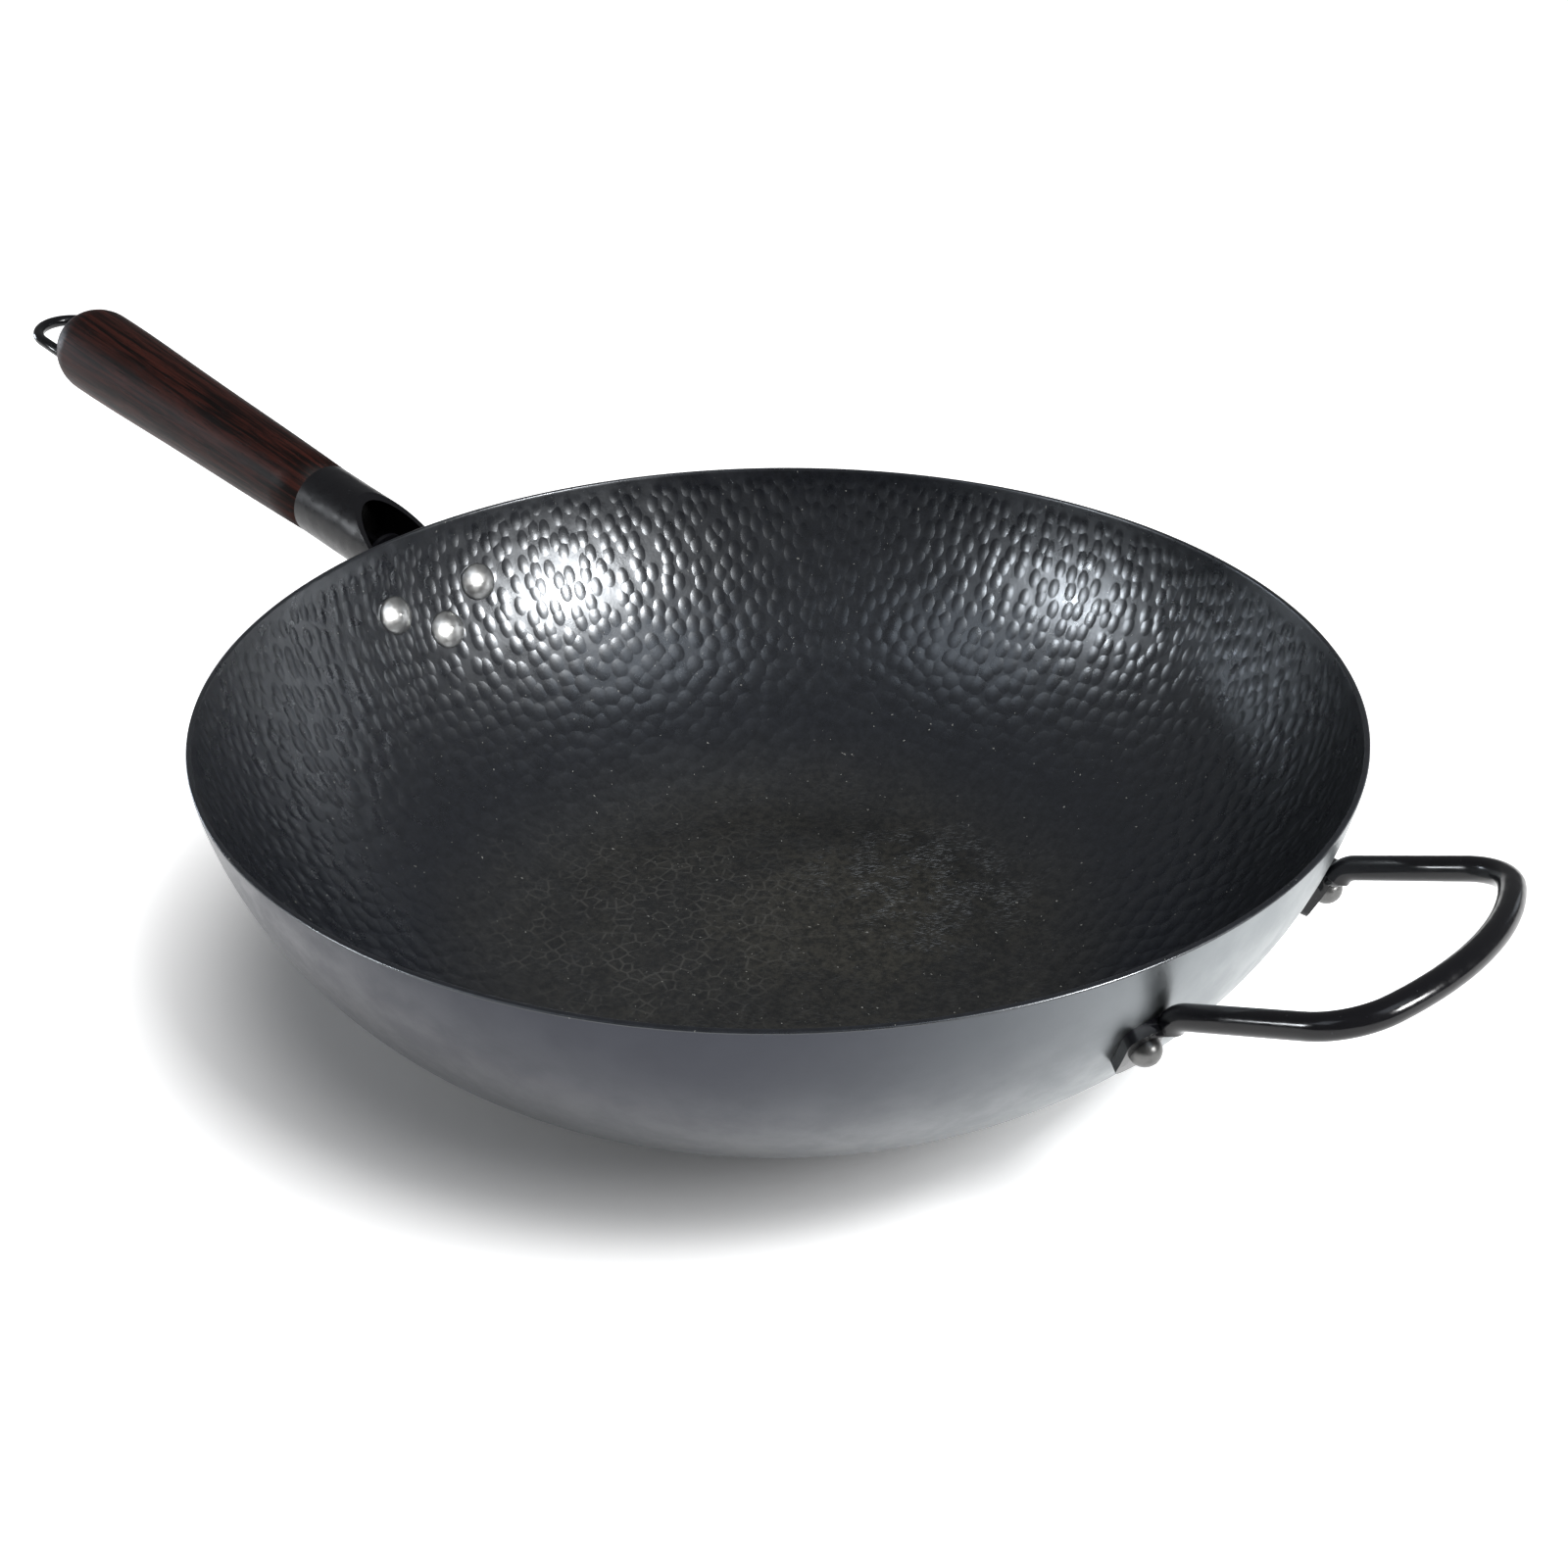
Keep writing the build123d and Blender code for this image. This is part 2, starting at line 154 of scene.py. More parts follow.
# %% Helpers for finishes
def noise(tree, place, size, detail=4.0, roughness=0.5, distortion=0.0):
    """Cloudy noise whose features are about as large as the given size in metres."""
    values = {"Vector": place, "Scale": 1 / size, "Detail": detail, "Roughness": roughness,
              "Distortion": distortion}
    return add(tree, "ShaderNodeTexNoise", values).outputs["Fac"]


def object_place(tree):
    """Place of the shaded point in the piece's own frame, in metres."""
    return add(tree, "ShaderNodeTexCoord").outputs["Object"]


def new_material(name, **sockets):
    """Material with a Principled shader whose even values are set on its own sockets."""
    material = bpy.data.materials.new(name)
    material.use_nodes = True
    shader = material.node_tree.nodes["Principled BSDF"]
    for socket, value in sockets.items():
        shader.inputs[socket.replace("_", " ")].default_value = value
    return material, material.node_tree, shader


def bump(tree, height, depth, under=None):
    """Small relief: heights of nought to one make marks as deep as the given depth."""
    values = {"Height": height, "Distance": depth, "Strength": 1.0}
    if under is not None:
        values["Normal"] = under
    return add(tree, "ShaderNodeBump", values).outputs["Normal"]


def dress(tree, shader, color, roughness, normal):
    """Link a varying colour, roughness and relief to the shader."""
    for name, value in (("Base Color", color), ("Roughness", roughness), ("Normal", normal)):
        tree.links.new(value, shader.inputs[name])


# %% [markdown]
# ## The bowl's profile
#
# A wok like this is pressed from a flat round blank of steel. Its outside is a flat base,
# a soft bend and two arcs that meet without a corner, the same as in the CAD model. The
# sheet is 1.6 mm thick. A profile that carries its own arc length is what the hammer marks
# need: they were struck on the flat blank, so their pattern lives in the blank's plane.

# %% Profile of the sheet
rim_radius = 160 * MM
bowl_depth = 92 * MM
base_radius = 69.7 * MM
sheet_thickness = 1.6 * MM
base_bend_radius = 50 * MM
wall_turns = [math.radians(turn) for turn in (-21.73, -7.53, 36.74)]
rim_edge_radius = 0.5 * MM
rim_inset = 0.005 * MM


def wall_arcs():
    """(centre reach, centre height, radius, start slope, end slope) of each arc."""
    lean = math.atan2(bowl_depth, rim_radius - base_radius)
    bend_end, middle, top = (lean + turn for turn in wall_turns)
    bend = (base_radius, base_bend_radius, base_bend_radius, 0, bend_end)
    start_reach = base_radius + base_bend_radius * math.sin(bend_end)
    start_height = base_bend_radius * (1 - math.cos(bend_end))
    steps = np.array([
        [math.sin(middle) - math.sin(bend_end), math.sin(top) - math.sin(middle)],
        [math.cos(bend_end) - math.cos(middle), math.cos(middle) - math.cos(top)],
    ])
    gain = np.array([rim_radius - start_reach, bowl_depth - start_height])
    lower_radius, upper_radius = np.linalg.solve(steps, gain)
    arcs = [bend]
    for radius, start, end in ((lower_radius, bend_end, middle), (upper_radius, middle, top)):
        reach, height, before, _, _ = arcs[-1]
        arcs.append((
            reach + (before - radius) * math.sin(start),
            height - (before - radius) * math.cos(start),
            radius, start, end,
        ))
    return arcs


arcs = wall_arcs()


def profile(lengths):
    """Reach, height and slope of the outer profile at each arc length from the centre."""
    reach = np.minimum(lengths, base_radius)
    height = np.zeros_like(lengths)
    slope = np.zeros_like(lengths)
    begun = base_radius
    for centre_reach, centre_height, radius, start, end in arcs:
        here = lengths >= begun
        turn = np.minimum(start + (lengths - begun) / radius, end)
        reach = np.where(here, centre_reach + radius * np.sin(turn), reach)
        height = np.where(here, centre_height - radius * np.cos(turn), height)
        slope = np.where(here, turn, slope)
        begun += radius * (end - start)
    return reach, height, slope


wall_length = base_radius + sum(arc[2] * (arc[4] - arc[3]) for arc in arcs)
print("arc length from the centre to the rim", round(wall_length / MM, 1), "mm")

# %% [markdown]
# ## Hammer marks
#
# Each mark is a shallow oval dish, deepest in its middle. High on the wall the dents are
# narrow and stand apart; lower down they grow round and meet in thin ridges, and on the
# floor they are nearly rubbed away. A Voronoi pattern gives one random centre per cell.
# The shader has such a texture, and the mesh has to agree with it, so the same random
# numbers are worked out here in numpy. The mesh has four tenths of the dents' depth, for
# their outlines and soft shading, and the shader adds seven tenths on the very same places,
# for their crisp edges. Both shares are given.

# %% The Voronoi centres that the texture uses, in numpy
dent_cell = 6.2 * MM
dent_randomness = 0.62
all_bits = 0xFFFFFFFF
hash_seed = 0xDEADBEEF + 13
float_one_bits = 0x3F800000
final_turns = (14, 11, 25, 16, 4, 14, 24)


def rotate_bits(value, count):
    """Turn a 32-bit number round by some bits."""
    return ((value << count) | (value >> (32 - count))) & all_bits


def scramble(first, second, third):
    """Final mixing of three 32-bit numbers: exclusive or, subtract, and turn, seven times."""
    numbers = [third, first, second]
    for step, count in enumerate(final_turns):
        target = step % 3
        other = (target + 2) % 3
        mixed = numbers[target] ^ numbers[other]
        numbers[target] = (mixed - rotate_bits(numbers[other], count)) & all_bits
    return numbers[0]


def cell_jitter(column, row):
    """Two random shares from nought to one for each cell, from the cell's float bits."""
    x, y = (cell.astype(np.float32).view(np.uint32).astype(np.uint64) for cell in (column, row))
    two_seed, three_seed = (hash_seed + 4 * count & all_bits for count in (2, 3))
    blank_word, one = np.zeros_like(x), np.full_like(x, float_one_bits)
    pair = scramble(*((word + two_seed) & all_bits for word in (x, y, blank_word)))
    triple = scramble(*((word + three_seed) & all_bits for word in (x, y, one)))
    return pair / all_bits, triple / all_bits


def nearest_centre(blank_x, blank_y):
    """Nearest of the nine centres round each point, all lengths in metres on the blank."""
    x, y = blank_x / dent_cell, blank_y / dent_cell
    nearest = np.full(x.shape, np.inf)
    centre_x, centre_y = np.zeros_like(x), np.zeros_like(y)
    for column_step in (-1, 0, 1):
        for row_step in (-1, 0, 1):
            column, row = np.floor(x) + column_step, np.floor(y) + row_step
            jitter_x, jitter_y = cell_jitter(column, row)
            at_x, at_y = column + dent_randomness * jitter_x, row + dent_randomness * jitter_y
            distance = np.hypot(x - at_x, y - at_y)
            closer = distance < nearest
            nearest = np.where(closer, distance, nearest)
            centre_x, centre_y = np.where(closer, at_x, centre_x), np.where(closer, at_y, centre_y)
    return centre_x * dent_cell, centre_y * dent_cell


sample = nearest_centre(np.array([100 * MM]), np.array([0.0]))
print("dent nearest to 100, 0 mm:", [round(float(v[0]) / MM, 2) for v in sample], "mm")


# %% Size, depth and fading of the dents along the wall
low_wall, high_wall = 122 * MM, 168 * MM
round_dent_half = 3.7 * MM
oval_dent_half_length = 3.5 * MM
oval_dent_half_width = 2.5 * MM
floor_end, wall_begin = 50 * MM, 105 * MM
floor_dent_depth = 0.03 * MM
low_dent_depth = 0.19 * MM
high_dent_depth = 0.23 * MM
fade_begin, fade_end = wall_length - 7 * MM, wall_length - 2 * MM
mesh_dent_share = 0.4
shader_dent_share = 0.7
averaging_spread = 0.6 * MM


def smooth_step(value, low, high):
    """Nought below the low value, one above the high one, smooth between."""
    share = np.clip((value - low) / (high - low), 0, 1)
    return share * share * (3 - 2 * share)


def dent_height(blank_x, blank_y):
    """Height: minus a depth times one less the squared distance from the oval's centre."""
    centre_x, centre_y = nearest_centre(blank_x, blank_y)
    length = np.maximum(np.hypot(blank_x, blank_y), MM)
    along = ((blank_x - centre_x) * blank_x + (blank_y - centre_y) * blank_y) / length
    across = ((blank_x - centre_x) * blank_y - (blank_y - centre_y) * blank_x) / length
    high = smooth_step(length, low_wall, high_wall)
    half_length = round_dent_half + (oval_dent_half_length - round_dent_half) * high
    half_width = round_dent_half + (oval_dent_half_width - round_dent_half) * high
    outward_squared = (along / half_length) ** 2 + (across / half_width) ** 2
    depth = floor_dent_depth + (low_dent_depth - floor_dent_depth) * smooth_step(
        length, floor_end, wall_begin)
    depth += (high_dent_depth - low_dent_depth) * high
    depth *= 1 - smooth_step(length, fade_begin, fade_end)
    return -mesh_dent_share * depth * np.maximum(1 - outward_squared, 0)


def averaged_dent_height(blank_x, blank_y, spread):
    """Mean of the height over five points, so that a coarse mesh doesn't flicker."""
    steps = ((0, 0), (1, 0), (-1, 0), (0, 1), (0, -1))
    heights = (dent_height(blank_x + spread * i, blank_y + spread * j) for i, j in steps)
    return sum(heights) / len(steps)


depths = [round(depth / MM, 2) for depth in (floor_dent_depth, low_dent_depth, high_dent_depth)]
print("dent depths", depths, "mm on the floor, the low wall and the high wall")


# %% [markdown]
# ## The bowl as one closed sheet
#
# The bowl is a profile turned about Z: over the inside from its centre to the rim, round
# the thin rolled edge, and back under the outside. Rows of points lie where they are
# needed, about a millimetre apart on the hammered wall. The smooth outside and the floor
# have fewer points in a ring, and a band of wider faces joins a fine ring to a coarse one.
# Every ring is worked out as one array.

# %% Rings of the bowl
wall_columns = 800
floor_columns = 400
outer_columns = 200
centre_columns = 50
wall_rows = 96
outer_wall_rows = 28
floor_bands_mm = (
    (6, 18, 3, centre_columns),
    (22, 46, 9, outer_columns),
    (48, 74, 17, floor_columns),
)
wall_start, wall_stop = 75.8 * MM, wall_length - 1.2 * MM
under_rim_steps_mm = (0.6, 1.6)
outer_wall_start = wall_length - 4 * MM
base_rings_mm = (70, 55)
centre_rings_mm = (50, 25, 6)


def inner_ring_lengths():
    """Arc lengths of the inside's rings, with how many points each has."""
    rings = [(length, columns) for start, stop, rows, columns in floor_bands_mm
             for length in np.linspace(start, stop, rows) * MM]
    wall = np.linspace(wall_start, wall_stop, wall_rows)
    return rings + [(length, wall_columns) for length in wall]


def outer_ring_lengths():
    """Arc lengths of the outside's rings from the rim down to the base."""
    rings = [(wall_length - step * MM, wall_columns) for step in under_rim_steps_mm]
    down = np.linspace(outer_wall_start, base_radius, outer_wall_rows)
    rings += [(length, outer_columns) for length in down]
    rings += [(length * MM, outer_columns) for length in base_rings_mm]
    return rings + [(length * MM, centre_columns) for length in centre_rings_mm]


print("rings on the inside:", len(inner_ring_lengths()), "on the outside:",
      len(outer_ring_lengths()))


# %% Points of the rings
def ring_points(length, count, inside):
    """Points of one ring and their blank places: on the profile, or lifted square off it."""
    angle = np.arange(count) * (2 * math.pi / count)
    reach, height, slope = (float(v[0]) for v in profile(np.array([length])))
    blank = length * np.cos(angle), length * np.sin(angle)
    lift = np.zeros(count)
    if inside:
        lift = sheet_thickness + averaged_dent_height(*blank, averaging_spread)
    radial, up = reach - math.sin(slope) * lift, height + math.cos(slope) * lift
    points = np.stack([radial * np.cos(angle), radial * np.sin(angle), up], axis=1)
    return points, np.stack(blank, axis=1)


def rim_rings():
    """The rim's edge: a rounded corner on each side of a narrow flat, a hair inside the frame."""
    reach, height, slope = (float(v[0]) for v in profile(np.array([wall_length])))
    out = np.array([math.sin(slope), -math.cos(slope)])
    up = np.array([math.cos(slope), math.sin(slope)])
    reach -= rim_inset
    corner = rim_edge_radius
    rings = []
    for centre, turns in ((sheet_thickness - corner, (0, 30, 60, 90)), (corner, (90, 60, 30, 0))):
        for turn in np.radians(turns):
            side = -1 if centre > sheet_thickness / 2 else 1
            inward = centre - side * corner * math.cos(turn)
            back = -corner + corner * math.sin(turn)
            rings.append(np.array([reach, height]) - out * inward + up * back)
    return rings


def bowl_rings():
    """All rings in order, each as (points, blank places, whether it is inside)."""
    rings = []
    for length, count in inner_ring_lengths():
        rings.append((*ring_points(length, count, True), True))
    angle = np.arange(wall_columns) * (2 * math.pi / wall_columns)
    for radial, up in rim_rings():
        points = np.stack([radial * np.cos(angle), radial * np.sin(angle),
                           np.full(wall_columns, up)], axis=1)
        blank = wall_length * np.stack([np.cos(angle), np.sin(angle)], axis=1)
        rings.append((points, blank, True))
    for length, count in outer_ring_lengths():
        rings.append((*ring_points(length, count, False), False))
    return rings


rings = bowl_rings()
print(len(rings), "rings,", sum(len(ring[0]) for ring in rings), "points")


# %% Faces between the rings
def band(start, count, next_start, next_count):
    """Faces between two rings: quads, or wider faces where the counts differ."""
    coarse = min(count, next_count)
    first = np.arange(coarse)
    near, far = count // coarse, next_count // coarse
    lower = [start + (first * near + step) % count for step in range(near + 1)]
    upper = [next_start + (first * far + step) % next_count for step in range(far + 1)]
    return np.stack([lower[0], *upper, *reversed(lower[1:])], axis=1).tolist()


def cap(start, count, centre, flipped):
    """Triangles from a ring to the point at its centre."""
    first = np.arange(count)
    ends = [start + first, start + (first + 1) % count]
    if flipped:
        ends.reverse()
    return np.stack([np.full(count, centre), *ends], axis=1).tolist()


def bowl_mesh(name):
    """One closed mesh of all the rings, with the blank's plane kept on each point."""
    starts = np.cumsum([0] + [len(ring[0]) for ring in rings]).tolist()
    heights = (sheet_thickness + dent_height(np.zeros(1), np.zeros(1))[0], 0.0)
    poles = np.array([(0, 0, height) for height in heights])
    points = np.concatenate([ring[0] for ring in rings] + [poles])
    blank = np.concatenate([ring[1] for ring in rings] + [np.zeros((2, 2))])
    faces = cap(0, len(rings[0][0]), starts[-1], False)
    inside = [True] * len(faces)
    for index in range(len(rings) - 1):
        made = band(starts[index], len(rings[index][0]), starts[index + 1],
                    len(rings[index + 1][0]))
        faces += made
        inside += [rings[index + 1][2]] * len(made)
    faces += cap(starts[-2], len(rings[-1][0]), starts[-1] + 1, True)
    inside += [False] * (len(faces) - len(inside))
    mesh = bpy.data.meshes.new(name)
    mesh.from_pydata(points.tolist(), [], faces)
    places = np.concatenate([blank, np.zeros((len(blank), 1))], axis=1).astype(np.float32)
    attribute = mesh.attributes.new("blank_place", "FLOAT_VECTOR", "POINT")
    attribute.data.foreach_set("vector", places.ravel())
    mesh.polygons.foreach_set("material_index", np.where(inside, 0, 1).astype(np.int32))
    mesh.shade_smooth()
    mesh.update()
    return mesh


hammered_bowl = bpy.data.objects.new("hammered_bowl", bowl_mesh("hammered_bowl"))
bpy.context.scene.collection.objects.link(hammered_bowl)
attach(hammered_bowl, "root")
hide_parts("bowl")
triangles = sum(len(face.vertices) - 2 for face in hammered_bowl.data.polygons)
print("hammered bowl:", triangles, "triangles")

# %% [markdown]
# ## Seasoned steel inside
#
# Blued and seasoned carbon steel is nearly black, a little blue on the wall and olive brown
# on the floor, with a soft broad gloss. Use has left a brown patch of baked oil, thin pale
# lines round small worn cells, and short bright scratches, each mostly in a ragged patch of
# its own. The material reads the blank's plane for the dents, lines, scratches and patches,
# so that they run with the sheet, and the piece's own frame for the fine mottle and specks.

# %% Dents in the shader, on the same centres as in the mesh
def oval_share(tree, blank, length, centre):
    """Squared distance from the dent's centre, one where its edge lies."""
    offset = vector_calc(tree, "SUBTRACT", blank, centre)
    radial = vector_calc(tree, "NORMALIZE", blank)
    along = vector_calc(tree, "DOT_PRODUCT", offset, radial)
    across = vector_calc(tree, "LENGTH", vector_calc(tree, "CROSS_PRODUCT", offset, radial))
    high = (low_wall, high_wall)
    half_length = smooth_map(tree, length, *high, round_dent_half, oval_dent_half_length)
    half_width = smooth_map(tree, length, *high, round_dent_half, oval_dent_half_width)
    along_share = calc(tree, "DIVIDE", along, half_length)
    across_share = calc(tree, "DIVIDE", across, half_width)
    squares = calc(tree, "MULTIPLY", along_share, along_share)
    return calc(tree, "ADD", squares, calc(tree, "MULTIPLY", across_share, across_share))


def dent_relief(tree, blank, length):
    """Height in metres of the shader's share of the dents, by the mesh's formula."""
    cells = add(tree, "ShaderNodeTexVoronoi",
                {"Vector": blank, "Scale": 1 / dent_cell, "Randomness": dent_randomness},
                voronoi_dimensions="2D", feature="F1")
    outward = oval_share(tree, blank, length, cells.outputs["Position"])
    dish = calc(tree, "MAXIMUM", calc(tree, "SUBTRACT", 1, outward), 0)
    low = smooth_map(tree, length, floor_end, wall_begin, floor_dent_depth, low_dent_depth)
    rise = smooth_map(tree, length, low_wall, high_wall, 0, high_dent_depth - low_dent_depth)
    fade = smooth_map(tree, length, fade_begin, fade_end, -shader_dent_share, 0)
    return calc(tree, "MULTIPLY", calc(tree, "MULTIPLY", calc(tree, "ADD", low, rise), fade), dish)


# %% Worn lines, scratches and the patches that hold them
worn_cell = 4.4 * MM
worn_cell_randomness = 0.8
worn_line_fade = (0.02, 0.13)
scratch_peaks = (0.60, 0.70)
ragged_reach_share = 1.6
patch_core_share = 0.35


def worn_lines(tree, blank):
    """Thin lines along the edges of small random cells, broken by noise."""
    edges = add(tree, "ShaderNodeTexVoronoi",
                {"Vector": blank, "Scale": 1 / worn_cell, "Randomness": worn_cell_randomness},
                voronoi_dimensions="2D", feature="DISTANCE_TO_EDGE")
    line = smooth_map(tree, edges.outputs["Distance"], *worn_line_fade, 1, 0)
    broken = smooth_map(tree, noise(tree, blank, 9 * MM, 4, 0.6), 0.40, 0.60)
    return calc(tree, "MULTIPLY", line, broken)


def scratches(tree, blank, turn, length, width):
    """Fine straight marks in one direction: noise drawn out long and cut at its peaks."""
    values = {"Vector": blank, "Rotation": (0, 0, turn), "Scale": (length / width, 1, 1)}
    place = add(tree, "ShaderNodeMapping", values, vector_type="TEXTURE").outputs[0]
    return smooth_map(tree, noise(tree, place, width, 2, 0.4), *scratch_peaks)


def larger(tree, first, *others):
    """The largest of several values."""
    for other in others:
        first = calc(tree, "MAXIMUM", first, other)
    return first


def worn_spot(tree, blank, centre, radius, ragged):
    """Soft round patch on the blank, one in its middle, whose edge the noise makes ragged."""
    away = vector_calc(tree, "DISTANCE", blank, (*centre, 0))
    shift = calc(tree, "MULTIPLY", calc(tree, "SUBTRACT", ragged, 0.5),
                 ragged_reach_share * radius)
    reached = calc(tree, "ADD", away, shift)
    return smooth_map(tree, reached, patch_core_share * radius, radius, 1, 0)


# %% Places and colours of the inside
# Each spot is given by its centre on the blank and its radius.
floor_fade = (70 * MM, 118 * MM)
brown_spot = (-4 * MM, -20 * MM), 56 * MM
celled_spot = (34 * MM, 14 * MM), 72 * MM
scratched_spot = (-12 * MM, -52 * MM), 50 * MM
scratch_turns_lengths_widths = (
    (0.73, 3 * MM, 0.55 * MM),
    (0.40, 4 * MM, 0.40 * MM),
    (1.15, 3 * MM, 0.45 * MM),
)
wall_blues = (0.0060, 0.0068, 0.0100), (0.0115, 0.0130, 0.0185)
floor_greys = (0.0085, 0.0085, 0.0085), (0.020, 0.0195, 0.018)
baked_browns = (0.0130, 0.0124, 0.0102), (0.045, 0.042, 0.0335)
worn_line_grey = (0.115, 0.112, 0.102)
scratch_grey = (0.22, 0.235, 0.25)
speck_grey = (0.32, 0.32, 0.30)
worn_line_share, scratch_share, stray_scratch_share = 0.42, 0.8, 0.12
wall_gloss, duller_floor = (0.26, 0.34), 0.18
one_metre = 1.0
for centre, radius in (brown_spot, celled_spot, scratched_spot):
    print("spot of", round(radius / MM), "mm round", [round(v / MM) for v in centre], "mm")


# %% Inside finish
def inside_wear(tree, blank, floor, ragged):
    """Shares of the worn lines and of the scratches, each in its own ragged patch."""
    celled = worn_spot(tree, blank, *celled_spot, ragged)
    lines = calc(tree, "MULTIPLY", worn_lines(tree, blank), celled)
    cloud = smooth_map(tree, noise(tree, blank, 12 * MM, 4, 0.6), 0.42, 0.60)
    marks = larger(tree, *(scratches(tree, blank, *kind) for kind in scratch_turns_lengths_widths))
    patch = larger(tree, worn_spot(tree, blank, *scratched_spot, ragged),
                   calc(tree, "MULTIPLY", floor, stray_scratch_share))
    marks = calc(tree, "MULTIPLY", calc(tree, "MULTIPLY", marks, cloud), patch)
    return (calc(tree, "MULTIPLY", lines, worn_line_share),
            calc(tree, "MULTIPLY", marks, scratch_share))


def seasoned_inside():
    """Blue-black steel with worn lines, scratches, brown patches and a soft uneven gloss."""
    material, tree, shader = new_material("seasoned_inside", Metallic=0.0, IOR=1.8,
                                          Specular_Tint=(0.92, 0.96, 1.0, 1))
    place = object_place(tree)
    blank = add(tree, "ShaderNodeAttribute", attribute_name="blank_place").outputs["Vector"]
    length = vector_calc(tree, "LENGTH", blank)
    floor = smooth_map(tree, length, *floor_fade, 1, 0)
    ragged = noise(tree, blank, 24 * MM, 6, 0.65)
    patch = smooth_map(tree, noise(tree, blank, 40 * MM, 5, 0.6), 0.40, 0.64, 0.1, 0.5)
    brown = larger(tree, calc(tree, "MULTIPLY", floor, patch),
                   worn_spot(tree, blank, *brown_spot, ragged))
    mottle = smooth_map(tree, noise(tree, place, 2.5 * MM, 6, 0.7), 0.36, 0.64)
    blues, greys, browns = (
        mix_colors(tree, mottle, *pair) for pair in (wall_blues, floor_greys, baked_browns))
    lines, marks = inside_wear(tree, blank, floor, ragged)
    specks = smooth_map(tree, noise(tree, place, 1.3 * MM, 1, 0.5), 0.765, 0.79)
    color = mix_colors(tree, floor, blues, greys)
    for share, over in ((brown, browns), (lines, worn_line_grey), (marks, scratch_grey),
                        (specks, speck_grey)):
        color = mix_colors(tree, share, color, over)
    gloss = smooth_map(tree, noise(tree, place, 8 * MM, 5, 0.65), 0.3, 0.7, *wall_gloss)
    gloss = calc(tree, "ADD", gloss, calc(tree, "MULTIPLY", floor, duller_floor))
    dents = bump(tree, dent_relief(tree, blank, length), one_metre)
    pitted = bump(tree, noise(tree, place, 1.1 * MM, 5, 0.65), 0.03 * MM, dents)
    dress(tree, shader, color, gloss, pitted)
    return material


# %% [markdown]
# ## Satin steel outside
#
# The outside is the same steel, rubbed to a satin and blued less, so it is a soft blue-grey
# that mirrors the pale floor without a sharp picture. Metal with a middling roughness does
# that. Its colour also holds painted light: a painted reflection makes it paler on the
# helper's side, and about a quarter turn from there, on the camera's left, painted shade
# darkens it most at the rim and fades far down the wall.

# %% Outside finish
steel_greys = (0.078, 0.083, 0.091), (0.142, 0.150, 0.162)
# The lighter grey is a painted reflection; the darker grey and its heights are painted shade.
painted_reflection_grey, painted_shade_grey = (0.255, 0.277, 0.287), (0.036, 0.038, 0.048)
painted_shade_heights = (22 * MM, 74 * MM)
satin_gloss = (0.32, 0.44)


def side_of_bowl(turn):
    """Level direction that lies this far clockwise, seen from above, off the camera's right."""
    angle = handle_azimuth + turn
    return math.cos(angle), -math.sin(angle), 0


# The painted reflection lies on one side of the bowl, the painted shade on another.
painted_light_side, painted_shade_side = side_of_bowl(0.35), side_of_bowl(2.15)


def facing(tree, place, side):
    """How far a place lies towards a side of the bowl: one at the rim there."""
    return calc(tree, "DIVIDE", vector_calc(tree, "DOT_PRODUCT", place, side), rim_radius)


def satin_outside():
    """Satin blue-grey metal, pale on one side from a painted reflection and darker towards the rim
    on another from painted shade.
    """
    material, tree, shader = new_material("satin_outside", Metallic=1.0)
    place = object_place(tree)
    steel = mix_colors(tree, noise(tree, place, 30 * MM, 5, 0.6), *steel_greys)
    # Painted reflection: the side that mirrors the pale floor is painted lighter.
    pale = smooth_map(tree, facing(tree, place, painted_light_side), 0.15, 0.95)
    steel = mix_colors(tree, calc(tree, "MULTIPLY", pale, 0.9), steel, painted_reflection_grey)
    height = add(tree, "ShaderNodeSeparateXYZ", {"Vector": place}).outputs["Z"]
    # Painted shade: a band darker towards the rim on the camera's left.
    band = smooth_map(tree, height, *painted_shade_heights)
    dark = calc(tree, "MULTIPLY", band, smooth_map(tree, facing(tree, place, painted_shade_side), 0.2, 0.9))
    color = mix_colors(tree, calc(tree, "MULTIPLY", dark, 0.85), steel, painted_shade_grey)
    gloss = smooth_map(tree, noise(tree, place, 14 * MM, 6, 0.65), 0.3, 0.7, *satin_gloss)
    dress(tree, shader, color, gloss, bump(tree, noise(tree, place, 0.7 * MM, 3), 0.01 * MM))
    return material


for made in (seasoned_inside(), satin_outside()):
    hammered_bowl.data.materials.append(made)
print("bowl finishes:", [m.name for m in hammered_bowl.data.materials])

# %% [markdown]
# ## Smooth copies of the CAD pieces
#
# A CAD node comes as loose flat triangles. A copy with its double points merged can be
# shaded smooth across its curves and stay crisp at its real edges, which a glossy black
# rod needs. The copy has the same shape and place, and stands for its node.

# %% Merged copies
crisp_angle = math.radians(32)
merging_distance = 0.001 * MM


def merged_copy(node, material):
    """Copy of a CAD node with merged points and smooth shading up to an edge angle."""
    copy = bmesh.new()
    copy.from_mesh(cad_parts[node].data)
    bmesh.ops.remove_doubles(copy, verts=copy.verts, dist=merging_distance)
    mesh = bpy.data.meshes.new("smooth_" + node)
    copy.to_mesh(mesh)
    copy.free()
    mesh.shade_smooth()
    mesh.set_sharp_from_angle(angle=crisp_angle)
    mesh.materials.clear()
    mesh.materials.append(material)
    mesh.polygons.foreach_set("material_index", np.zeros(len(mesh.polygons), np.int32))
    piece = bpy.data.objects.new("smooth_" + node, mesh)
    bpy.context.scene.collection.objects.link(piece)
    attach(piece, "root")
    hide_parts(node)
    print(piece.name, len(mesh.polygons), "faces")
